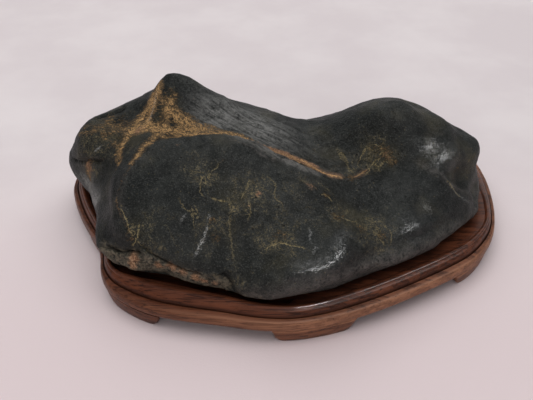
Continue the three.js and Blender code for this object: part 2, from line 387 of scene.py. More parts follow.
def grain(points, size, octaves, offset):
    """Smooth random heights between about -1 and 1, with waves of the given size in millimetres."""
    seed = Vector((offset, -offset, offset * 0.5))
    return np.array([noise.fractal(Vector(p) / size + seed, 0.8, 2.0, octaves) for p in points])


print("line helper ready, with", POINTS_PER_SPAN, "points to a span")

# %% [markdown]
# ## The lines of the stone
# These are the marks a finger would trace on this stone: the crest and the ridges beside it, the
# valley with its stained bed, the cracks at the left, the torn lower edge with its notch, the nose
# and the edges of the skirt. The skin is cut finer along them, so that each can be carved sharply.

# %% Crest, valley and slope lines
CREST = [(-78, -31, 48), (-77, -28, 51), (-76, -23, 55), (-73, -19, 58), (-69, -14, 61), (-64, -11, 63),
         (-59, -9, 66), (-52, -10, 68), (-45, -11, 69), (-34, -8, 70), (-23, -9, 68), (-14, -12, 66),
         (-4, -14, 62), (1, -12, 59)]
CREST_RIDGES = [
    [(-26, -12, 69), (-16, -15, 66), (-8, -18, 63), (3, -15, 58), (14, -13, 53), (25, -14, 49)],
    [(-24, -8, 68), (-16, -10, 66), (-9, -14, 64), (-3, -14, 61), (3, -12, 58), (14, -12, 53)],
    [(-21, -6, 67), (-12, -9, 65), (-4, -10, 61), (4, -9, 58)],
]
PALE_RIDGE = [(-28, -4, 68), (-21, -7, 68), (-14, -9, 66), (-8, -11, 63), (-2, -14, 61), (8, -16, 57),
              (15, -15, 53)]
VALLEY_BED = [(-67, 9, 66), (-56, 2, 66), (-46, -2, 67), (-36, -2, 69), (-26, -1, 67), (-16, -3, 65),
              (-7, -5, 62), (3, -7, 58), (13, -9, 54), (23, -11, 50), (32, -12, 48)]
SLOPE_GROOVES = [
    [(-39, 16, 79), (-34, 15, 75), (-22, 11, 68), (-11, 8, 65), (2, 5, 60), (13, -2, 56), (24, -8, 51)],
    [(-29, 19, 75), (-22, 21, 70), (-7, 20, 64), (8, 16, 59), (18, 10, 57)],
    [(-30, 4, 68), (-18, 3, 66), (-6, 1, 63), (6, -3, 58), (18, -7, 53), (28, -10, 50)],
    [(-2, 10, 62), (11, 6, 57), (23, -3, 54), (30, -7, 51)],
    [(-20, 15, 67), (-8, 13, 65), (4, 10, 60), (16, 4, 57)],
]
print("crest", length_of(CREST), "mm, valley bed", length_of(VALLEY_BED), "mm")

# %% Peak, left lobe and left face lines
PEAK_EDGE = [(-62, 21, 82), (-64, 17, 75), (-65, 14, 70), (-68, 10, 66), (-72, 9, 63), (-76, 8, 60)]
LOBE_CRACK = [(-114, 25, 37), (-109, 18, 39), (-104, 13, 42), (-98, 8, 46), (-93, 5, 47), (-89, 3, 50)]
SKYLINE_CRACK = [(-101, 30, 56), (-95, 31, 59), (-88, 31, 62), (-82, 32, 64)]
LOBE_FOLDS = [
    [(-92, 24, 58), (-85, 23, 61), (-79, 25, 64), (-74, 25, 67), (-69, 23, 71)],
    [(-96, 20, 55), (-90, 17, 56), (-84, 14, 58), (-78, 8, 60)],
    [(-84, 14, 57), (-84, 4, 55), (-83, -6, 53), (-81, -14, 53)],
]
FACE_EDGE = [(-65, -14, 62), (-70, -16, 60), (-73, -20, 58), (-75, -24, 55), (-76, -28, 53), (-77, -32, 49),
             (-76, -35, 46), (-74, -40, 43)]
print("peak edge", length_of(PEAK_EDGE), "mm, face edge", length_of(FACE_EDGE), "mm")

# %% Lower left edge lines
LOWER_CRACK = [(-88, -37, 25), (-85, -40, 26.5), (-82, -42, 28), (-79, -45, 28.5), (-75, -48, 29.5),
               (-71, -50, 31), (-65, -52, 32)]
SECOND_CRACK = [(-68, -50, 35.5), (-65, -51, 35), (-62, -53, 33), (-57, -55, 31), (-51, -57, 28.5),
                (-45, -59, 27.5), (-41, -60, 27), (-35, -61, 27)]
TORN_STRIP = [(-84, -41, 23), (-76, -48, 25), (-67, -51, 26), (-58, -54, 26), (-48, -57, 23),
              (-39, -60, 22), (-30, -62, 22)]
TORN_EDGE = [(-80, -45, 23), (-73, -49, 22), (-66, -51, 22), (-58, -54, 21.5), (-48, -57, 20),
             (-40, -60, 20), (-30, -62, 19)]
NOTCH = [(-25, -66, 17), (-25, -65, 21), (-26, -64, 25), (-29, -63, 30)]
BESIDE_NOTCH = [(-19, -67, 18), (-19, -67, 22), (-21, -66, 27)]
print("torn strip", length_of(TORN_STRIP), "mm, notch", length_of(NOTCH), "mm")

# %% Nose, hump and right end lines
NOSE_EDGE = [(28, -50, 43), (25, -57, 41), (22, -62, 39), (19, -65, 38), (13, -68, 37), (6, -69, 36),
             (-2, -70, 35)]
NOSE_TOP = [(-12, -46, 47), (-6, -44, 48), (2, -42, 49), (11, -42, 48), (17, -45, 45), (21, -49, 44)]
SKIRT_EDGE = [(-6, -71, 29), (6, -71, 34), (19, -67, 34), (29, -61, 34), (44, -49, 32), (54, -44, 32),
              (70, -34, 32), (82, -23, 30), (95, -11, 27)]
FACET_EDGE = [(68, -5, 52), (73, -8, 50), (78, -9, 47), (83, -10, 43), (89, -8, 38), (96, -4, 31),
              (102, 2, 23)]
RIM_RIDGE = [(101, 6, 28), (103, 4, 24), (101, -2, 21), (96, -10, 22)]
HOLLOW_RIM = [(26, 2, 53), (29, 3, 55), (33, 2, 55), (38, 1, 56)]
HUMP_CREASE = [(56, 10, 72), (63, 9, 70), (65, 7, 67), (67, 4, 64), (70, 2, 61)]
print("nose edge", length_of(NOSE_EDGE), "mm, skirt edge", length_of(SKIRT_EDGE), "mm")

# %% Finer skin along the lines
FINE_REACH = 5.0
FINEST_REACH = 4.0


def finer_near(piece, lines, reach):
    """Cuts every face near the lines into four."""
    points, normals = skin(piece)
    near = np.zeros(len(points), bool)
    for line in lines:
        near |= along_line(points, normals, line)[0] < reach
    mesh = bmesh.new()
    mesh.from_mesh(piece.data)
    edges = [edge for edge in mesh.edges if near[edge.verts[0].index] and near[edge.verts[1].index]]
    bmesh.ops.subdivide_edges(mesh, edges=edges, cuts=1, use_grid_fill=True)
    mesh.to_mesh(piece.data)
    mesh.free()


torn_lines = [LOWER_CRACK, SECOND_CRACK, TORN_STRIP, NOTCH]
sharp_lines = [CREST, PALE_RIDGE, VALLEY_BED, PEAK_EDGE, LOBE_CRACK, SKYLINE_CRACK, FACE_EDGE]
sharp_lines += [NOSE_EDGE, FACET_EDGE, HOLLOW_RIM, HUMP_CREASE] + CREST_RIDGES + torn_lines
finer_near(stone, sharp_lines, FINE_REACH)
finer_near(stone, torn_lines, FINEST_REACH)
points, normals = skin(stone)
triangles = sum(len(face.vertices) - 2 for face in stone.data.polygons)
print("stone skin:", len(points), "points,", triangles, "triangles")

# %% [markdown]
# ## Carving the stone
# A water-worn stone keeps hard bands as ridges, loses soft ones as grooves, and cracks where it
# was bent. Each stroke below pushes the skin out or in along its own normal, strongest on its line.
# A ledge lifts one side only. Small waves over the whole skin make the wax break its reflections.

# %% Carving strokes
LEDGE_EDGE = 1.2
LEDGE_ENDS = 0.12


def ridges(strokes, ends=0.15):
    """Raised bands, or sunk ones, fading at their ends: each (line, width, height, waver)."""
    total = np.zeros(len(points))
    for line, width, height, waver in strokes:
        distance, _, along = along_line(points, normals, line)
        fade = eased(along, 0, ends) * eased(1 - along, 0, ends)
        total += height * fade * np.exp(-((distance + waver * ragged) / width) ** 2)
    return total


def ledge(line, reach, height, waver=0.0):
    """Lifts the left side of a line, sharply at the line and fading away from it."""
    distance, side, along = along_line(points, normals, line)
    across = distance * side + waver * ragged
    fade = eased(along, 0, LEDGE_ENDS) * eased(1 - along, 0, LEDGE_ENDS)
    return height * fade * eased(across, -LEDGE_EDGE, LEDGE_EDGE) * np.exp(-(distance / reach) ** 2)


def bosses(places):
    """Low round swellings, or hollows: each (centre, radii, height)."""
    total = np.zeros(len(points))
    for centre, radii, height in places:
        off = (points - np.array(centre, float)) / np.array(radii, float)
        total += height * np.exp(-np.einsum("ij,ij->i", off, off))
    return total


def shifted(line, x, y, z):
    """The same line, moved aside."""
    return [(px + x, py + y, pz + z) for px, py, pz in line]


ragged = grain(points, 3.0, 3, 31.0)
relief = np.zeros(len(points))
print("lines waver by", round(float(np.abs(ragged).mean()), 2), "of their waver")

# %% Crest and valley
relief += ridges([(CREST, 3.5, 0.8, 0), (VALLEY_BED, 7, -1.2, 0), (PALE_RIDGE, 1.7, 0.8, 0.5),
                  (shifted(PALE_RIDGE, 0.6, 3, 0), 0.9, -0.7, 0.5)])
relief += ridges([(line, 1.4, height, 0.5) for line, height in zip(CREST_RIDGES, (1.0, -0.9, 0.8))])
relief += ridges([(line, 1.3, -0.7, 0.7) for line in SLOPE_GROOVES])
relief += ridges([(shifted(line, 0.5, -2.2, 0.6), 1.5, 0.45, 0.7) for line in SLOPE_GROOVES])
print("crest and valley:", round(relief.min(), 2), "to", round(relief.max(), 2), "mm")

# %% Peak, left lobe and left face
relief += ridges([(PEAK_EDGE, 2.4, 0.8, 0.4), (LOBE_CRACK, 1.1, -1.6, 0.5), (SKYLINE_CRACK, 1.3, -1.9, 0.4),
                  (FACE_EDGE, 3.0, 0.6, 0)])
relief += ridges([(line, 2.2, height, 0.8) for line, height in zip(LOBE_FOLDS, (-0.9, 0.7, -0.8))])
relief += ledge(LOBE_CRACK, 7, 0.9)
relief += bosses([
    ((-57, 22, 88), (6, 9, 5), -1.1), ((-65, 21, 80), (6, 8, 7), -0.5), ((-38, 20, 80), (8, 9, 6), -0.9),
    ((-28, 18, 74), (12, 8, 6), 0.9), ((-104, 10, 32), (6, 7, 6), -1.2), ((-67, 0, 64), (3.5, 4, 3), 0.7),
    ((-76, -2, 60), (4, 5, 3), -0.8),
])
print("with peak and left lobe:", round(relief.min(), 2), "to", round(relief.max(), 2), "mm")

# %% Cracked lower left edge and the notch
TORN_REACH = 8.0

relief += ridges([(LOWER_CRACK, 0.9, -2.2, 0.5), (SECOND_CRACK, 1.0, -1.4, 0.6), (TORN_EDGE, 1.6, 0.7, 0.8),
                  (BESIDE_NOTCH, 4, 0.9, 0)])
relief += ridges([(NOTCH, 2.2, -2.4, 0)], ends=0.05)
relief += ledge(LOWER_CRACK, 4, -0.9, waver=0.5) + ledge(SECOND_CRACK, 4, -0.6, waver=0.6)
torn_near = along_line(points, normals, TORN_STRIP)[0]
torn = eased(TORN_REACH - torn_near + 1.6 * ragged, 0.5, 4.5)
relief += torn * (0.85 * grain(points, 5.0, 3, 21.0) + 0.3 * grain(points, 1.8, 2, 17.0) - 0.25)
relief += bosses([((-70, -51, 23), (4, 4, 3.5), 0.9)])
print("torn edge:", round(float(torn.mean()) * 100, 1), "% of the skin")

# %% Nose, hump and right end
relief += ridges([
    (NOSE_EDGE, 3.6, 1.15, 0), (NOSE_TOP, 5, -0.7, 0), (SKIRT_EDGE, 2.0, -0.8, 0.5),
    (shifted(SKIRT_EDGE, 0, -2, -5), 2.6, 0.9, 0.8), (FACET_EDGE, 1.6, 0.9, 0.4), (RIM_RIDGE, 2.0, 0.8, 0),
    (HOLLOW_RIM, 1.4, 0.6, 0.5), (HUMP_CREASE, 2.2, -0.8, 0.3),
])
relief += bosses([
    ((6, -58, 42), (10, 7, 6), 1.3), ((-6, -60, 37), (7, 5, 6), -0.5), ((32, -54, 39), (5, 6, 6), -1.6),
    ((31, 5, 58), (13, 8, 8), -1.5), ((90, 0, 43), (7, 6, 8), -2.0), ((80, -5, 51), (10, 5, 5), 1.5),
    ((73, 5, 61), (8, 5, 5), -0.9), ((66, 25, 70), (8, 8, 5), -1.9), ((82, 14, 63), (8, 7, 6), 1.9),
    ((99, 16, 52), (6, 6, 6), 1.1), ((60, -35, 37), (9, 6, 5), 0.9), ((50, -35, 42), (8, 6, 5), -0.5),
])
print("with nose and hump:", round(relief.min(), 2), "to", round(relief.max(), 2), "mm")

# %% Waves and bands over the whole skin
SLOPE_MIDDLE = [(-34, 10, 71), (-22, 11, 68), (-11, 8, 65), (11, 3, 58), (28, -5, 52)]
DOWN_SLOPE = np.array([0.86, -0.25, -0.42])
ACROSS_SLOPE = np.array([0.3, 0.95, 0.05])
OUT_OF_SLOPE = np.array([0.39, -0.17, 0.9])
BAND_STRETCH = 0.14
SEAT_SHARE = 0.35

bands = np.stack([points @ DOWN_SLOPE * BAND_STRETCH, points @ ACROSS_SLOPE, points @ OUT_OF_SLOPE], 1)
slope_near, _, slope_along = along_line(points, normals, SLOPE_MIDDLE)
relief += np.exp(-(slope_near / 13) ** 2) * 0.5 * grain(bands, 2.6, 3, 11.0)
for depth, size, offset in ((0.7, 24, 3.0), (0.42, 9, 7.0), (0.17, 3.5, 5.0)):
    relief += depth * grain(points, size, 2, offset)
relief *= SEAT_SHARE + (1 - SEAT_SHARE) * eased(points[:, 2], 14, 22)
print("relief:", round(relief.min(), 2), "to", round(relief.max(), 2), "mm")

moved = points + normals * relief[:, None]
stone.data.vertices.foreach_set("co", (moved * MM).ravel())
stone.data.update()

# %% [markdown]
# ## Where the colours lie
# Iron in the ground stained this stone: a broad ochre bed in the valley, an orange seam running
# down from it, rust in the cracks and thin yellow veins. Broad stains are stored on the skin as a
# share from 0 to 1. A thin vein is finer than the mesh, so its distance is stored instead, with
# a sign for its side, and the finish draws a sharp line where that distance passes through zero.


# %% Stain helpers
def keep(name, values):
    """Stores one number for each point of the skin, for the finish to read."""
    layer = stone.data.attributes.new(name, "FLOAT", "POINT")
    layer.data.foreach_set("value", np.ascontiguousarray(values, np.float32))
    print(name, "covers", round(float(np.clip(values, 0, 1).mean()) * 100, 1), "% of the skin")


def stain(strokes):
    """Soft bands along lines, each (line, width at start, width at end, strength)."""
    amount = np.zeros(len(points))
    for line, wide, narrow, strength in strokes:
        distance, _, along = along_line(points, normals, line)
        width = wide + (narrow - wide) * along
        amount = np.maximum(amount, strength * np.exp(-(distance / width) ** 2))
    return amount


def spots(places):
    """Soft round patches, each (centre, radius, strength)."""
    amount = np.zeros(len(points))
    for centre, radius, strength in places:
        distance = np.linalg.norm(points - np.array(centre, float), axis=1)
        amount = np.maximum(amount, strength * np.exp(-(distance / radius) ** 2))
    return amount


def thin_lines(name, strokes, reach=2.6):
    """Signed distance to the nearest line, and its strength there: (line, start, end if it differs)."""
    across = np.full(len(points), reach)
    strength = np.zeros(len(points))
    nearest = np.full(len(points), np.inf)
    for line, start, *end in strokes:
        distance, side, along = along_line(points, normals, line)
        closer = distance < nearest
        nearest[closer] = distance[closer]
        across[closer] = (distance * np.where(side == 0, 1, side))[closer]
        fade = eased(along, -0.02, 0.12) * eased(1 - along, -0.02, 0.12)
        change = end[0] - start if end else 0.0
        strength[closer] = ((start + change * along) * fade)[closer]
    strength *= 1 - eased(nearest, reach * 0.6, reach)
    keep(name + "_across", np.clip(across, -reach, reach))
    keep(name + "_strength", strength)


# %% Ochre bed
OCHRE_STROKES = [
    ([(-63, 20, 78), (-65, 16, 72), (-67, 13, 67.5), (-71, 9, 64), (-76, 9, 61), (-80, 6, 58), (-82, 1, 55),
      (-81, -8, 53)], 4.6, 3.8, 0.92),
    ([(-56, 15, 77.5), (-58, 12, 74), (-60, 8, 69), (-62, 2, 66), (-64, -4, 65), (-67, -7, 63),
      (-70, -11, 61), (-72, -16, 59)], 4.4, 2.8, 0.9),
    ([(-58, 12, 74), (-54, 9, 71), (-49, 6, 69), (-43, 4, 68), (-36, 2, 67.5)], 5.2, 3.6, 1.0),
    ([(-70, 8, 64), (-63, 5, 66), (-55, 4, 67), (-47, 1, 67), (-40, -2, 68), (-33, -1, 68)], 7.0, 4.0, 1.0),
    ([(-60, -1, 66), (-52, -3, 67), (-45, -4, 68), (-38, -5, 69)], 3.2, 2.4, 0.9),
    ([(-34, 0, 67.5), (-26, 0.5, 67), (-20, -1, 66), (-14, -3, 64.5), (-8, -5.5, 62.5)], 2.8, 1.8, 0.95),
    ([(-17, -3, 65.5), (-10, -5, 63), (-2, -5.5, 60), (6, -7.5, 57), (15, -10, 53)], 3.0, 1.6, 0.75),
    ([(-90, 22, 58), (-84, 20, 60), (-80, 15, 60), (-75, 13, 63)], 6.5, 6.0, 0.55),
    ([(-62, 21, 80), (-64, 18, 75), (-66, 16, 71), (-68, 13, 67)], 4.2, 4.2, 1.15),
    ([(-66, 20, 75), (-69, 20, 71), (-71, 20, 67), (-73, 17, 65), (-75, 14, 63), (-77, 11, 61)],
     5.0, 5.0, 1.05),
    ([(-72, -18, 59), (-76, -25, 54), (-78, -31, 48), (-77, -35, 45), (-74, -41, 42), (-72, -45, 40)],
     1.0, 1.4, 0.5),
]
ochre = stain(OCHRE_STROKES)
ochre = np.maximum(ochre, spots([
    ((-92, 27, 60), 6, 0.5), ((-84, 24, 61), 5, 0.5), ((-97, 22, 56), 6, 0.5), ((-104, 14, 46), 6, 0.3),
    ((-100, 9, 41), 5.5, 0.7), ((-103, 9, 37), 5, 0.85), ((-104, 24, 54), 7, 0.5), ((-90, 17, 57), 7, 0.58),
    ((-108, 24, 50), 5, 0.4), ((45, 1.5, 58), 4, 0.5), ((50, -1, 56), 5, 0.6), ((54, -4, 52), 3.5, 0.55),
    ((-2, -52, 43), 5, 0.5), ((-33, -48, 49), 2.6, 0.62), ((-31, -53, 43), 3.0, 0.58),
    ((33, -12, 49), 4, 0.5), ((20, -30, 50), 3, 0.48), ((35, -44, 41), 5, 0.42), ((46, -43, 36), 5, 0.45),
    ((25, -40, 45), 5, 0.42), ((88, 0, 46), 6, 0.36), ((-79, -3, 54), 5, 0.55), ((-86, 8, 57), 5, 0.6),
    ((-78, 14, 62), 4, 0.6), ((-50, -9, 69), 2.2, 0.62), ((-28, -24, 66), 3, 0.3), ((-71, -46, 37), 4, 0.5),
]))
dark_gaps = spots([((-67, 1, 64.5), 2.4, 0.9), ((-76, -2, 60), 4.0, 0.9), ((-55, 6, 68), 1.3, 0.8),
                   ((-73, 3, 62), 3.0, 0.7), ((-61, 10, 69), 4.0, 0.35)])
keep("ochre", ochre * (1 - dark_gaps))

# %% Rust and the torn edge
rust = spots([
    ((-70, -50, 28), 3.4, 1.0), ((-71, -50, 24.5), 3.0, 0.9), ((-58, -54, 27), 3.0, 0.85),
    ((-52, -57, 28), 3.2, 0.95), ((-47, -58, 26), 2.8, 0.75), ((-41, -60, 24.5), 2.6, 1.0),
    ((-37, -60, 23), 2.6, 0.85), ((-32, -62, 23), 2.6, 0.6), ((-12, -36, 55), 1.5, 0.9),
    ((-16, -41, 52), 1.2, 0.6), ((-73, 8, 63), 3.4, 0.72), ((-69, 7, 65), 2.6, 0.55),
    ((-50, -16, 68), 1.6, 0.5), ((12, -28, 54), 4, 0.42), ((51, -2, 55), 3.5, 0.5),
    ((-101, 9, 41), 4.5, 0.8),
])
BROAD_SEAM = [(-14, -4, 65), (-7, -5, 62), (0, -5.5, 59), (8, -7, 55.5), (16, -9, 53)]
rust = np.maximum(rust, stain([(BROAD_SEAM, 2.8, 1.6, 1.0)]))
keep("rust", rust)
keep("torn", torn)

# %% Dust, painted sheen and pale stone
SKIRT_BAND = [(-16, -69, 20), (-4, -71, 22), (6, -72, 27), (15, -70, 30), (25, -65, 29), (35, -58, 27),
              (45, -51, 26), (55, -47, 26), (66, -41, 25), (77, -31, 24), (89, -19, 22), (99, -5, 21)]
UNDER_LOBE = [(-106, 14, 30), (-103, 9, 29), (-99, -1, 31), (-95, -8, 32)]

# Dust lies in the skirt band. Along the crest ridges, the pale ridge, the rim, the facet edge and the peak
# edge the same grey is a painted sheen, where those ridges catch the light.
keep("dust_and_sheen", stain([(SKIRT_BAND, 6, 5, 1.0), (FACET_EDGE, 1.6, 1.6, 0.6), (RIM_RIDGE, 2.2, 2.2, 0.8),
                    (PALE_RIDGE, 2.0, 1.8, 0.75), (PEAK_EDGE, 1.6, 1.6, 0.6), (FACE_EDGE, 2.2, 2.2, 0.25)]
                   + [(line, 0.9, 0.9, 0.9) for line in CREST_RIDGES]))
# Pale stone lies under the lobe and along the pale ridge. On the slope below the peak the grey is a painted
# sheen, the bright room mirrored at a grazing angle, over a paler patina.
pale = stain([(PALE_RIDGE, 3.2, 2.2, 1.0), (UNDER_LOBE, 4, 4, 1.0)])
pale_and_sheen = np.exp(-(slope_near / 11.5) ** 2) * (1 - 0.9 * eased(slope_along, 0.35, 0.8))
keep("pale_and_sheen", np.maximum(pale, pale_and_sheen))

# %% Polish, flecks and painted shade
keep("polish", np.maximum(stain([(NOSE_EDGE, 2.8, 3.4, 0.85)]), spots([
    ((60, -36, 36), 5, 0.6), ((66, -30, 37), 3.5, 0.4), ((81, -3, 53), 5.0, 0.76), ((73, 0, 58), 3.4, 0.7),
    ((69, -25, 38), 2.5, 0.4), ((-94, 9, 52), 3, 0.6), ((-96, -6, 30), 5, 0.5),
])))
keep("flecked", spots([
    ((-30, -48, 46), 20, 0.75), ((-66, -46, 40), 14, 0.9), ((-2, -54, 42), 16, 0.8),
    ((38, -43, 40), 16, 0.9), ((24, -38, 47), 15, 0.9), ((10, -29, 54), 14, 0.8),
    ((-18, -38, 55), 16, 0.8), ((-96, 15, 52), 22, 1.0), ((45, 0, 57), 13, 0.9),
    ((90, 0, 45), 12, 0.6), ((-78, 4, 58), 16, 0.9), ((-36, -30, 61), 12, 0.8),
    ((-20, -66, 24), 14, 0.8), ((30, -8, 51), 12, 0.7), ((60, 25, 68), 22, 0.35),
]))
# Painted shade: darker patches on the nose, the left face under the lobe and the front face, where less
# light and sheen fall.
keep("painted_shade", spots([
    ((11, -52, 44), 9, 0.8), ((-88, -24, 38), 16, 0.8), ((-46, -44, 48), 14, 0.55), ((14, -33, 50), 8, 0.5),
]))

# %% Orange seam and yellow veins
ORANGE_SEAM = [(-12, -5, 64), (-5, -6, 61), (2, -6, 58), (9, -7, 55), (17, -10, 53), (21, -11, 51),
               (26, -11, 48), (30, -12, 48)]
SEAM_END = [(34, -12, 48), (37, -10, 48), (40, -7, 48.5), (42, -5, 49)]
thin_lines("seam", [(ORANGE_SEAM, 0.1, 1.3), (SEAM_END, 0.4, 0.4)], 4.0)
thin_lines("vein", [
    ([(-76, -33, 47), (-75, -37, 45), (-73, -41, 43), (-71, -45, 40), (-68, -47, 38), (-65, -50, 35),
      (-62, -52, 33)], 0.8),
    ([(-67, -43, 43.5), (-67, -46, 41), (-68, -48, 38.5), (-71, -49, 34)], 0.8),
    ([(-34, -39, 55), (-29, -40, 54), (-25, -41, 53), (-20, -44, 50)], 0.8),
    ([(-16, -40, 53), (-16, -43, 50), (-17, -46, 47)], 0.6),
    ([(-10, -57, 39), (-4, -55, 41), (3, -57, 41), (10, -60, 41)], 0.9),
    ([(-24, -40, 54), (-25, -45, 50), (-25, -50, 44), (-24, -54, 39), (-23, -60, 34)], 0.35),
    ([(27, 4, 56), (28, 1, 53), (31, -4, 52), (33, -5, 49), (35, -10, 48)], 0.55),
    ([(29, 3, 55), (32, -2, 52), (35, -10, 48)], 0.7),
    ([(42, 2, 59), (39, -1, 53), (35, -8, 48)], 0.7),
    ([(50, 0, 57), (45, -3, 51), (40, -10, 48)], 0.8),
    ([(52, -2, 53), (48, -5, 50), (47, -8, 49)], 0.6),
    ([(44, 3, 60), (50, -1, 56), (56, -4, 52)], 0.7),
    ([(17, -31, 51), (20, -30, 49.5), (22, -32, 47.5)], 0.9),
    ([(-36, -29, 61), (-38, -32, 60), (-39, -36, 57), (-37, -39, 55)], 0.6),
    ([(-30, -25, 65), (-34, -29, 62), (-35, -33, 60)], 0.5),
    ([(-41, -42, 53), (-39, -46, 50), (-42, -51, 46)], 0.6),
    ([(80, -10, 45.5), (84, -11, 41.5), (89, -12, 36)], 0.6),
    ([(32, -43, 42), (34, -45, 39), (33, -48, 37)], 0.6),
    ([(43, -42, 38), (44, -45, 35), (47, -46, 32)], 0.5),
    ([(26, -39, 45), (31, -41, 42), (34, -39, 42)], 0.5),
    ([(-48, -38, 54), (-46, -42, 51), (-42, -45, 50), (-41, -50, 46)], 0.5),
    ([(-56, -45, 44), (-52, -47, 43), (-50, -51, 39)], 0.45),
    ([(18, -24, 53), (24, -27, 50), (27, -33, 47), (33, -35, 44)], 0.5),
    ([(40, -36, 42), (44, -39, 39), (43, -44, 35)], 0.5),
    ([(47, -37, 40), (50, -41, 36), (49, -45, 32)], 0.45),
    ([(-8, -27, 59), (-4, -31, 57), (-5, -36, 54), (0, -40, 50)], 0.45),
    ([(-16, -30, 59), (-18, -35, 56), (-20, -39, 54)], 0.5),
])

# %% Cracks with dirt and painted shade, scratches and painted glints
crack_lines = [(LOWER_CRACK, 1.0), (SECOND_CRACK, 0.9), (LOBE_CRACK, 0.35), (SKYLINE_CRACK, 0.9),
               (NOTCH, 0.8)]
thin_lines("crack", crack_lines + [(line, 0.5) for line in SLOPE_GROOVES])
thin_lines("scratch", [
    ([(-62, 21, 81), (-64, 17, 75), (-65, 14, 70), (-68, 10, 66)], 0.5),
    ([(-35, -49, 46), (-36, -51, 44), (-37, -53, 41.5), (-38, -56, 38)], 1.0),
    ([(-36, -53, 42), (-38, -54, 41), (-40, -57, 37), (-41, -58, 35.5)], 0.8),
    ([(-34, -46, 50), (-35, -48, 48)], 0.7),
    ([(11, -49, 44.5), (11, -52, 43.5), (11, -55, 42)], 0.6),
    ([(14, -58, 41.5), (12, -61, 40)], 0.5),
    ([(-45, -45, 50), (-47, -47, 48)], 0.4),
    # a painted glint on the left lobe, drawn as a chalk line
    ([(-93, 9, 53.5), (-94, 9, 52), (-96, 9, 50)], 0.5),
    # a painted highlight along the facet edge, drawn as a chalk line
    ([(78, -7, 48), (82, -10, 43), (88, -11.5, 37), (95, -9, 30)], 0.22),
])

# %% [markdown]
# ## The waxed finish
# Under the wax the stone is a fine-grained green-black, never one even colour: paler clouds, ochre
# flecks that run up and down the face, pits and hair-fine marks. Wax lies thickest where hands rub,
# so a few high places shine and the rest stays dull. The finish is therefore two shaders with the
# same colour and grain, a dull one and a polished one, and the wax decides how much of each.

# %% Stone finish: patterns
wax, dull_shader, place = new_finish("waxed_stone", specular=0.14)

BLACK_GREEN = (0.0085, 0.0100, 0.0096, 1)
GREY_GREEN = (0.0250, 0.0270, 0.0252, 1)
OLIVE = (0.0470, 0.0420, 0.0250, 1)
SLATE = (0.205, 0.202, 0.193, 1)
PIT_BLACK = (0.004, 0.004, 0.004, 1)
FLECK = (0.220, 0.175, 0.090, 1)
OCHRE_DARK = (0.155, 0.102, 0.054, 1)
OCHRE_LIGHT = (0.565, 0.335, 0.140, 1)
RUST_DEEP = (0.170, 0.085, 0.045, 1)
RUST_BRIGHT = (0.450, 0.262, 0.155, 1)
SEAM_DULL = (0.200, 0.115, 0.070, 1)
SEAM_ORANGE = (0.560, 0.325, 0.140, 1)
VEIN_YELLOW = (0.300, 0.235, 0.115, 1)
CHALK_AND_GLINT = (0.420, 0.420, 0.410, 1)
TORN_GREY = (0.158, 0.132, 0.096, 1)
DUST_AND_SHEEN_GREY = (0.095, 0.085, 0.077, 1)

SHARES = ("ochre", "rust", "torn", "dust_and_sheen", "pale_and_sheen", "polish")
ochre_share, rust_share, torn_share, dust_and_sheen_share, pale_and_sheen_share, polish_share = map(place.attribute, SHARES)
painted_shade_share = place.attribute("painted_shade")
flecked_share = place.attribute("flecked") * (1 - painted_shade_share)

broad = place.clouds(0.035, 4.0, 0.6, 0.4)
middle = place.clouds(0.16, 5.0, 0.65)
fine = place.clouds(0.7, 4.0, 0.65)
tiny = place.clouds(1.7, 2.0, 0.6)
network = place.clouds(0.17, 4.0, 0.62, 1.2)
network_2 = place.turned("X", 20).stretched((0.9, 0.9, 0.35)).clouds(0.4, 3.0, 0.6, 0.8)
down_slope = place.turned("Z", 21).turned("Y", -23)
bandwise = down_slope.stretched((0.08, 0.85, 0.85)).clouds(1.0, 5.0, 0.68, 0.6)
fibres = place.turned("Z", 30).turned("Y", 25).stretched((0.30, 0.95, 0.8)).clouds(0.9, 4.0, 0.7, 1.0)

print("patterns:", len(wax.node_tree.nodes), "nodes")

# %% Stone finish: body colour
body = (broad * 0.55 + middle * 0.45).step(0.42, 0.60).blend(BLACK_GREEN, GREY_GREEN)
body = (place.clouds(0.05, 3.0, 0.5).step(0.5, 0.72) * 0.5 + flecked_share * 0.15).blend(body, OLIVE)
# Painted shade: those patches are darkened towards black green.
body = (painted_shade_share * 0.8).blend(body, BLACK_GREEN)
# Painted sheen on the slope, and pale stone, in slate grey.
body = (pale_and_sheen_share * (bandwise * 0.45 + middle * 0.3 + fine * 0.25).step(0.38, 0.58)).blend(body, SLATE)
# Dust in the skirt band, and painted sheen on the ridges.
body = (dust_and_sheen_share * (fine * 0.6 + middle * 0.4).step(0.36, 0.58)).blend(body, DUST_AND_SHEEN_GREY)
body = (tiny.step(0.50, 0.72) * 0.20).blend(body, SLATE)
body = ((1 - tiny.step(0.30, 0.44)) * 0.5).blend(body, PIT_BLACK)

# %% Stone finish: flecks and veins
hair = 1 - abs(network - 0.5).step(0.004, 0.019)
hair_2 = 1 - abs(network_2 - 0.5).step(0.006, 0.028)
fleck_room = (flecked_share * 0.8 + broad.step(0.45, 0.62) * 0.25 + (middle - 0.5) * 1.8).step(0.35, 1.05)
dots = tiny.step(0.56, 0.67)
flecks = (hair * 0.9 + hair_2 * 0.75 + dots * 0.7).lowest(1.0) * fleck_room * fine.step(0.36, 0.56)
flecks = (flecks + fine.step(0.66, 0.74) * 0.3).lowest(1.0)
body = (flecks * 0.85).blend(body, FLECK)

vein_width = abs(place.attribute("vein_across") + (fine - 0.5) * 3.0 + (middle - 0.5) * 2.6)
veins = (1 - vein_width.step(0.15, 0.55)) * place.attribute("vein_strength") * tiny.step(0.36, 0.54)
body = (veins * 0.85).blend(body, VEIN_YELLOW)

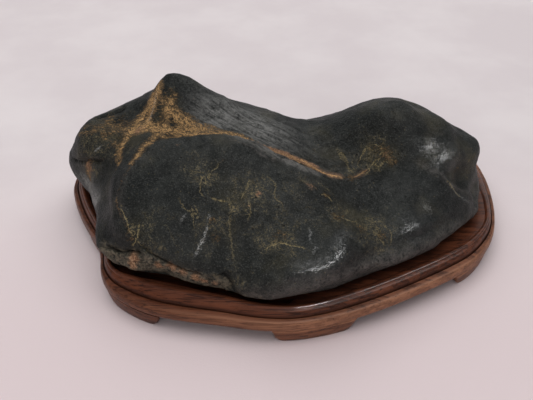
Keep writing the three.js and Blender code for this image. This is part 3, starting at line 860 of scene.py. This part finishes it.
# %% Stone finish: ochre, torn edge and rust
ochre_edge = ochre_share + (middle - 0.5) * 1.3 + (fibres - 0.5) * 2.0 + (fine - 0.5) * 0.8
ochre_cover = (ochre_edge * ochre_share.step(0.05, 0.35)).step(0.25, 0.85)
ochre_strokes = (fibres * 0.55 + tiny * 0.45 + (ochre_share - 0.9) * 0.12).step(0.47, 0.57) * ochre_cover
body = (ochre_cover * (0.30 + middle * 0.9)).lowest(0.9).blend(body, OCHRE_DARK)
body = (ochre_strokes * (0.35 + middle) * (0.3 + ochre_share * 0.7)).lowest(1.0).blend(body, OCHRE_LIGHT)

torn_cover = torn_share * (fine * 0.6 + middle * 0.4).step(0.38, 0.58)
body = (torn_cover * 0.9).blend(body, TORN_GREY)
rust_cover = (rust_share + (fine - 0.5) * 0.9 + (middle - 0.5) * 0.5).step(0.25, 0.85)
rust_tone = (fine * 0.5 + tiny * 0.5).step(0.40, 0.62).blend(RUST_DEEP, RUST_BRIGHT)
body = (rust_cover * 0.9).blend(body, rust_tone)

# %% Stone finish: seam, cracks, scratches and pits
seam_near = abs(place.attribute("seam_across") + (middle - 0.5) * 3.4 + (fine - 0.5) * 2.0)
seam_strength = place.attribute("seam_strength")
seam_wide = (1 - seam_near.step(0.8, 2.6)) * seam_strength * fine.step(0.32, 0.54)
seam_core = (1 - seam_near.step(0.2, 0.9)) * seam_strength * tiny.step(0.32, 0.50)
body = (seam_wide * 0.75).blend(body, SEAM_DULL)
body = (seam_core * 0.85).blend(body, SEAM_ORANGE)

# Dirt and painted shade darken the cracks and the slope grooves.
crack_near = abs(place.attribute("crack_across") + (fine - 0.5) * 1.6 + (middle - 0.5) * 1.0)
crack_dirt_and_shade = (1 - crack_near.step(0.25, 0.95)) * place.attribute("crack_strength")
body = (crack_dirt_and_shade * 0.85).blend(body, PIT_BLACK)
# Chalk-pale scratches, with painted glints drawn the same way.
chalk_and_glint_near = abs(place.attribute("scratch_across") + (fine - 0.5) * 2.0)
chalk_and_glints = (1 - chalk_and_glint_near.step(0.25, 1.0)) * place.attribute("scratch_strength") * tiny.step(0.40, 0.58)
body = (chalk_and_glints * 0.75).blend(body, CHALK_AND_GLINT)
specks = (1 - place.cells(0.35).step(0.10, 0.17)) * middle.step(0.47, 0.55)
body = (specks * 0.22).blend(body, FLECK)
pits = (1 - place.cells(0.42).step(0.05, 0.32)) * middle.step(0.45, 0.6)
pits = pits * (1 - pale_and_sheen_share * 0.7)
body = (pits * 0.7).blend(body, PIT_BLACK)

print("with colours:", len(wax.node_tree.nodes), "nodes")

# %% Stone finish: gloss and grain
stained = (ochre_cover + rust_cover + torn_cover * 0.6 + dust_and_sheen_share * 0.5).lowest(1.0)
height = fine * 0.6 + tiny * 0.25 - pits * 0.35 + middle * 0.5
height = height + pale_and_sheen_share * bandwise * 0.9 + ochre_cover * fibres * 0.8 + torn_share * fine * 0.9
height = height - veins * 0.15 - hair * 0.12 + chalk_and_glints * 0.1
grain_normal = bump(height, 0.0013, 0.9)
waxed_normal = bump(fine * 0.6 + middle * 0.7 + tiny * 0.12 - pits * 0.4, 0.0006, 0.9)

polished_shader = place.tree.nodes.new("ShaderNodeBsdfPrincipled")
polished_shader.inputs["Specular IOR Level"].default_value = 1.0
rubbed = polish_share * (1 - stained) * (fine * 0.6 + tiny * 0.4).step(0.40, 0.52)
mixed = place.add_node("ShaderNodeMixShader", None, {0: rubbed.highest(0.0)})
for number, shader, normal in ((1, dull_shader, grain_normal), (2, polished_shader, waxed_normal)):
    feed(shader, "Base Color", body)
    feed(shader, "Normal", normal)
    place.tree.links.new(shader.outputs[0], mixed.socket.node.inputs[number])
feed(dull_shader, "Roughness", 0.48 + (fine - 0.5) * 0.35 + stained * 0.25)
feed(polished_shader, "Roughness", 0.10 + (fine - 0.5) * 0.12)
place.tree.links.new(mixed.socket, place.tree.nodes["Material Output"].inputs["Surface"])

stone.data.materials.append(wax)
stone.data.shade_smooth()
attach(stone, "root")
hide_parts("stone")
print("waxed stone finish:", len(wax.node_tree.nodes), "nodes")

# %% [markdown]
# ## The board
# The board is one plank of rosewood, cut to the stone's plan and moulded round its edge with a
# lower band, a step, a hollow and a bead. One moulding profile is spun once round, as if turned,
# and then each spoke of that wheel is drawn out to the plank's real outline.

# %% Outline of the board
BENCH = np.array([-8.395, 0.608, 0.8])
OUTLINE = [
    (-110, 46, 6.5), (-110, 32, 6), (-106.4, 20, 5.5), (-100.4, 6, 5), (-93.5, -7, 4.5), (-87, -18, 4),
    (-83.5, -29, 4), (-81, -41, 4.5), (-76, -51, 6.5), (-67, -59.5, 9), (-55, -66.5, 10.5),
    (-42, -70.5, 10.5), (-22, -74, 9), (-4, -77, 7), (12, -77.3, 6), (27, -74.3, 6.5),
    (42, -69, 7.5), (58, -61.5, 8),
    (75, -52, 8), (92, -41.5, 8), (104, -32, 7), (113, -20.5, 5.5), (119.5, -8, 4.5), (124.2, 9, 5),
    (126.8, 28, 6), (127.3, 44, 7), (125.2, 60, 8), (116, 71, 8), (98, 75.5, 8), (60, 76, 8),
    (20, 75, 8), (-20, 75, 8), (-60, 74.5, 8), (-88, 70, 8), (-104, 60, 7.5),
]
SPOKES = 288
HUB = (8.0, 0.0)
AXLE = 1e-4
BOARD_BOTTOM = 6.5
DECK = 15.2
CURVE_STEPS = 30


def on_bench(x, y, z):
    """A place in the board's own millimetres, as a place in the model in metres."""
    return Vector((x + BENCH[0], y + BENCH[1], z + BENCH[2])) * MM


def between(at, low, high, first, second):
    """first where at is low, second where it is high, and an even change between."""
    return (high - at) / (high - low) * first + (at - low) / (high - low) * second


def closed_curve(controls, count):
    """Evenly spaced points on a smooth closed curve through the controls."""
    controls = np.array(controls, float)
    dense = []
    for i in range(len(controls)):
        a, b, c, d = (controls[(i + k) % len(controls)] for k in (-1, 0, 1, 2))
        t1 = np.linalg.norm(b - a) ** 0.5
        t2 = t1 + np.linalg.norm(c - b) ** 0.5
        t3 = t2 + np.linalg.norm(d - c) ** 0.5
        t = np.linspace(t1, t2, CURVE_STEPS, endpoint=False)[:, None]
        ab, bc, cd = between(t, 0, t1, a, b), between(t, t1, t2, b, c), between(t, t2, t3, c, d)
        dense.append(between(t, t1, t2, between(t, 0, t2, ab, bc), between(t, t1, t3, bc, cd)))
    dense = np.vstack(dense + [dense[0][:1]])
    run = np.concatenate([[0], np.cumsum(np.linalg.norm(np.diff(dense, axis=0), axis=1))])
    wanted = np.linspace(0, run[-1], count, endpoint=False)
    return np.stack([np.interp(wanted, run, dense[:, k]) for k in range(3)], 1)


rim = closed_curve(OUTLINE, SPOKES)
way = np.roll(rim[:, :2], -1, 0) - np.roll(rim[:, :2], 1, 0)
way /= np.linalg.norm(way, axis=1)[:, None]
inward = np.stack([-way[:, 1], way[:, 0]], 1)


def inset(turn, distance):
    """A place on the plan: a share of a turn round the rim, and a distance in from it."""
    spoke = (turn % 1.0) * SPOKES
    low = int(spoke) % SPOKES
    high = (low + 1) % SPOKES
    share = spoke - int(spoke)
    foot = rim[low, :2] * (1 - share) + rim[high, :2] * share
    lean = inward[low] * (1 - share) + inward[high] * share
    return foot + lean * distance


print("outline:", round(np.ptp(rim[:, 0]), 1), "x", round(np.ptp(rim[:, 1]), 1), "mm")

# %% Moulded edge
MOULDING = [
    (2.0, BOARD_BOTTOM), (0.2, BOARD_BOTTOM), (0.08, 6.55), (0.04, 6.9), (0.02, 7.6), (0.015, 8.6),
    (0.02, 9.6), (0.05, 10.6), (0.09, 11.25), (0.17, 11.8), (0.3, 12.05), (0.42, 12.2),
    (0.45, 11.3), (0.475, 10.7),
    (0.505, 11.4), (0.545, 12.8), (0.59, 13.8), (0.65, 14.65), (0.72, 15.2), (0.79, 15.45), (0.815, 15.5),
    (0.82, 15.9), (0.86, 16.3), (0.92, 16.52), (1.0, 16.6), (1.08, 16.52), (1.16, 16.25), (1.24, 15.9),
    (1.29, 15.5), (1.31, 15.25), (1.34, DECK), (2.0, DECK),
]

board = new_piece("board")
mesh = bmesh.new()
corners = [mesh.verts.new((2 - share, 0, height)) for share, height in MOULDING]
edges = [mesh.edges.new(pair) for pair in zip(corners, corners[1:])]
bmesh.ops.spin(mesh, geom=corners + edges, cent=(0, 0, 0), axis=(0, 0, 1), angle=math.tau, steps=SPOKES,
               use_merge=True)
bmesh.ops.remove_doubles(mesh, verts=mesh.verts, dist=1e-5)
for vert in mesh.verts:
    radius = math.hypot(vert.co.x, vert.co.y)
    spoke = round(math.atan2(vert.co.y, vert.co.x) / math.tau * SPOKES) % SPOKES
    x, y = HUB if radius < AXLE else inset(spoke / SPOKES, (2 - radius) * rim[spoke, 2])
    vert.co = on_bench(x, y, vert.co.z)
bmesh.ops.recalc_face_normals(mesh, faces=mesh.faces)
mesh.to_mesh(board.data)
mesh.free()
print("board:", len(board.data.polygons), "faces before the seat is cut")

# %% [markdown]
# ## Seat and pocket
# Such a stone is let into its board, so that its uneven foot stands level. The seat is cut with the
# stone itself, swollen by half a millimetre. Under the overhang at the left the board is cut deeper
# by a shallow pocket, so the torn edge hangs free above it.

# %% Pocket
POCKET = [
    (-100, 34), (-97.5, 18), (-89.5, -1), (-80.5, -22), (-76, -38), (-70.5, -46.5), (-54, -51.5),
    (-35, -57.5), (-17, -63.5), (-3, -67.5), (8, -69.5), (14, -60), (-10, -40), (-45, -25), (-65, 0),
    (-80, 30),
]
POCKET_FLOOR = 10.0
POCKET_HEIGHT = 20.0
POCKET_STEPS = 120

pocket = new_piece("pocket")
mesh = bmesh.new()
bmesh.ops.create_circle(mesh, cap_ends=True, segments=POCKET_STEPS, radius=1.0)
pocket_rim = closed_curve([(x, y, 0) for x, y in POCKET], POCKET_STEPS)
mesh.verts.ensure_lookup_table()
for vert in mesh.verts:
    turn = math.atan2(vert.co.y, vert.co.x) / math.tau
    x, y, _ = pocket_rim[round(turn * POCKET_STEPS) % POCKET_STEPS]
    vert.co = on_bench(x, y, POCKET_FLOOR)
lid = bmesh.ops.extrude_face_region(mesh, geom=mesh.faces[:])
for item in lid["geom"]:
    if isinstance(item, bmesh.types.BMVert):
        item.co.z += POCKET_HEIGHT * MM
bmesh.ops.recalc_face_normals(mesh, faces=mesh.faces)
mesh.to_mesh(pocket.data)
mesh.free()
print("pocket:", POCKET_HEIGHT, "mm high, floor at", POCKET_FLOOR + BENCH[2], "mm")

# %% Seat
SEAT_GAP = 0.5
SEAT_CUT = 28.0

template = bpy.data.objects.new("seat_template", stone.data.copy())
SCENE.collection.objects.link(template)
mesh = bmesh.new()
mesh.from_mesh(template.data)
cut = bmesh.ops.bisect_plane(mesh, geom=mesh.verts[:] + mesh.edges[:] + mesh.faces[:], dist=1e-7,
                             plane_co=(0, 0, SEAT_CUT * MM), plane_no=(0, 0, 1), clear_outer=True)
rim_edges = [item for item in cut["geom_cut"] if isinstance(item, bmesh.types.BMEdge)]
bmesh.ops.contextual_create(mesh, geom=rim_edges)
mesh.normal_update()
for vert in mesh.verts:
    vert.co += vert.normal * SEAT_GAP * MM
bmesh.ops.triangulate(mesh, faces=mesh.faces[:])
mesh.to_mesh(template.data)
mesh.free()
for cutter in (template, pocket):
    carve = board.modifiers.new("carve", "BOOLEAN")
    carve.operation = "DIFFERENCE"
    carve.solver = "EXACT"
    carve.object = cutter
settle_modifiers(board)
for cutter in (template, pocket):
    old = cutter.data
    bpy.data.objects.remove(cutter)
    bpy.data.meshes.remove(old)
print("board:", len(board.data.polygons), "faces with its seat")

# %% [markdown]
# The finish has to know where on the moulding a point lies. Its distance in from the edge, as a
# share of the moulding's width there, says so: 0 at the outer edge and 1 on top of the bead.

# %% Share across the moulding
spots_on_board = np.array([vert.co for vert in board.data.vertices]) / MM - BENCH
nearest_spoke = np.linalg.norm(spots_on_board[:, None, :2] - rim[None, :, :2], axis=2).argmin(axis=1)
from_edge = ((spots_on_board[:, :2] - rim[nearest_spoke, :2]) * inward[nearest_spoke]).sum(axis=1)
edge_share = board.data.attributes.new("edge_share", "FLOAT", "POINT")
edge_share.data.foreach_set("value", (from_edge / rim[nearest_spoke, 2]).astype(np.float32))
print("the board reaches", round(float(from_edge.max()), 1), "mm in from its edge")

# %% [markdown]
# ## The feet
# Seven small feet are glued under the board. Each follows the curve of the edge above it, rounds
# up at both ends and leans back a little towards the table. A cube is cut into a fine grid, and its
# length is then laid along the outline of the board between two shares of the way round it.

# %% Feet
FEET = {
    "foot_left": (0.085, 0.12),
    "foot_front_left": (0.156, 0.208),
    "foot_front_centre": (0.29, 0.352),
    "foot_front_right": (0.444, 0.483),
    "foot_back_right": (0.61, 0.65),
    "foot_back_centre": (0.775, 0.83),
    "foot_back_left": (0.945, 0.985),
}
FOOT_BOTTOM = -0.8
FOOT_SETBACK = 0.4
FOOT_DEPTH = 12.0
FOOT_END_RADIUS = 6.0
FOOT_RISE = 5.8
FOOT_NOSE = 1.5
FOOT_CUTS = ((0, 23), (2, 7), (1, 3))
STRAIGHT = 0.5
feet = []
for name, (start, end) in FEET.items():
    foot = new_piece("wooden_" + name)
    mesh = bmesh.new()
    bmesh.ops.create_cube(mesh, size=1.0)
    bmesh.ops.translate(mesh, verts=mesh.verts, vec=(0.5, 0.5, 0.5))
    for axis, cuts in FOOT_CUTS:
        lines = [edge for edge in mesh.edges if abs((edge.verts[0].co - edge.verts[1].co)[axis]) > STRAIGHT]
        bmesh.ops.subdivide_edges(mesh, edges=lines, cuts=cuts, use_grid_fill=True)
    length = float(np.linalg.norm(inset(start, FOOT_SETBACK) - inset(end, FOOT_SETBACK)))
    for vert in mesh.verts:
        share, depth, rise = vert.co
        to_end = min(share, 1 - share) * length
        short = max(0.0, FOOT_END_RADIUS - to_end) / FOOT_END_RADIUS
        lift = FOOT_RISE * (1 - math.sqrt(1 - short ** 2))
        nose = FOOT_NOSE * (1 - rise) ** 2 if depth < 1e-3 else 0.0
        x, y = inset(start + share * (end - start), FOOT_SETBACK + nose + depth * FOOT_DEPTH)
        z = BOARD_BOTTOM - (1 - rise) * (BOARD_BOTTOM - FOOT_BOTTOM - lift)
        vert.co = on_bench(x, y, z)
    bmesh.ops.recalc_face_normals(mesh, faces=mesh.faces)
    mesh.to_mesh(foot.data)
    mesh.free()
    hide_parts(name)
    feet.append(foot)
    print(foot.name, round(length, 1), "mm long")

# %% [markdown]
# ## Oiled rosewood
# The board is cut from one plank, its grain running along its length. Rosewood has near-black
# streaks in a red-brown ground and short dark pores along the grain. The scraped band below the
# moulding took less oil and has stayed lighter than the moulding and the top. Shade is painted in
# too: the left end of the board is painted darker, as the light falls from the right, and the groove
# above the band is darkened partly by wax gathered there and partly by painted shade.

# %% Wood finish
wood, wood_shader, place = new_finish("rosewood", specular=0.2)

WOOD_DARK = (0.062, 0.019, 0.010, 1)
WOOD_RED = (0.137, 0.043, 0.020, 1)
WOOD_LIGHT = (0.380, 0.180, 0.100, 1)
WOOD_MIDDLE = (0.230, 0.100, 0.056, 1)
WOOD_STREAK = (0.022, 0.008, 0.005, 1)
BAND_TOP = 12.5
GROOVE = 0.45
BAND_FOOT = 6.3
BEAD_FOOT = 16.1
LEFT_SHADE_FULL = -72
LEFT_SHADE_GONE = 10

plank = place.turned("Z", 4).turned("Y", 3)
flow = plank.stretched((0.008, 0.22, 0.38)).clouds(1.0, 6.0, 0.60, 0.3)
streaks = plank.stretched((0.016, 0.60, 1.0)).clouds(1.0, 6.0, 0.66, 0.15)
pores = place.stretched((0.16, 2.2, 2.4)).clouds(1.0, 2.0, 0.5)
height_up = place.axis("Z")
length_along = place.axis("X")
across = place.attribute("edge_share")
on_lip = height_up.step(BAND_TOP - 0.2, BAND_TOP + 0.3)
pale_band_and_left_shade = (1 - on_lip * 0.68) * (1 - across.step(GROOVE - 0.03, GROOVE))
pale_band_and_left_shade = pale_band_and_left_shade * (0.35 + 0.65 * height_up.step(BAND_FOOT - 0.2, BAND_FOOT + 0.2))
# Painted shade: the pale band fades towards the left end, where less light falls than from the right.
pale_band_and_left_shade = pale_band_and_left_shade * (0.3 + 0.7 * length_along.step(LEFT_SHADE_FULL, LEFT_SHADE_GONE))

ground = (flow * 0.5 + streaks * 0.5).step(0.38, 0.62).blend(WOOD_DARK, WOOD_RED)
pale = (flow * 0.5 + streaks * 0.5).step(0.36, 0.60).blend(WOOD_MIDDLE, WOOD_LIGHT)
timber = (pale_band_and_left_shade * 0.70).blend(ground, pale)
# Painted shade: the whole board is darker towards its left end.
timber = ((1 - length_along.step(LEFT_SHADE_FULL, LEFT_SHADE_GONE)) * 0.36).blend(timber, WOOD_DARK)
streaky = 1 - pale_band_and_left_shade * 0.65
timber = ((1 - abs(flow - 0.47).step(0.008, 0.034)) * streaky * 0.75).blend(timber, WOOD_STREAK)
timber = ((1 - streaks.step(0.34, 0.45)) * streaky * 0.85).blend(timber, WOOD_STREAK)
# Wax gathered in the groove above the band, and painted shade there.
groove_wax_and_shade = across.step(GROOVE - 0.04, GROOVE) * (1 - across.step(GROOVE + 0.06, GROOVE + 0.15))
timber = (groove_wax_and_shade * (0.35 + streaks * 0.7)).blend(timber, WOOD_STREAK)
timber = (pores.step(0.60, 0.72) * 0.5).blend(timber, WOOD_STREAK)
feed(wood_shader, "Base Color", timber)
feed(wood_shader, "Roughness", 0.36 + (streaks - 0.5) * 0.3 + pale_band_and_left_shade * 0.16)
wood_shader.inputs["Coat Roughness"].default_value = 0.15
wood_shader.inputs["Coat IOR"].default_value = 1.8
rubbed_bead = height_up.step(BEAD_FOOT, BEAD_FOOT + 0.4)
by_hand = length_along.step(-8, 8) * (1 - length_along.step(30, 48)) * 0.8 + 0.2
tool_marks = place.clouds(1.1, 1.0).step(0.36, 0.52)
feed(wood_shader, "Coat Weight", rubbed_bead * by_hand * (0.45 + tool_marks * 0.55))
feed(wood_shader, "Normal", bump(streaks * 0.5 - pores.step(0.60, 0.72) * 0.3, 0.00018, 0.8))

# %% Wood on the board and the feet
for piece in [board] + feet:
    piece.data.materials.clear()
    piece.data.materials.append(wood)
    piece.data.shade_smooth()
    piece.data.set_sharp_from_angle(angle=math.radians(40))
    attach(piece, "root")
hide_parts("stand")
print("rosewood on", len(feet) + 1, "pieces,", len(wood.node_tree.nodes), "nodes")

# %% Close
bpy.context.view_layer.update()
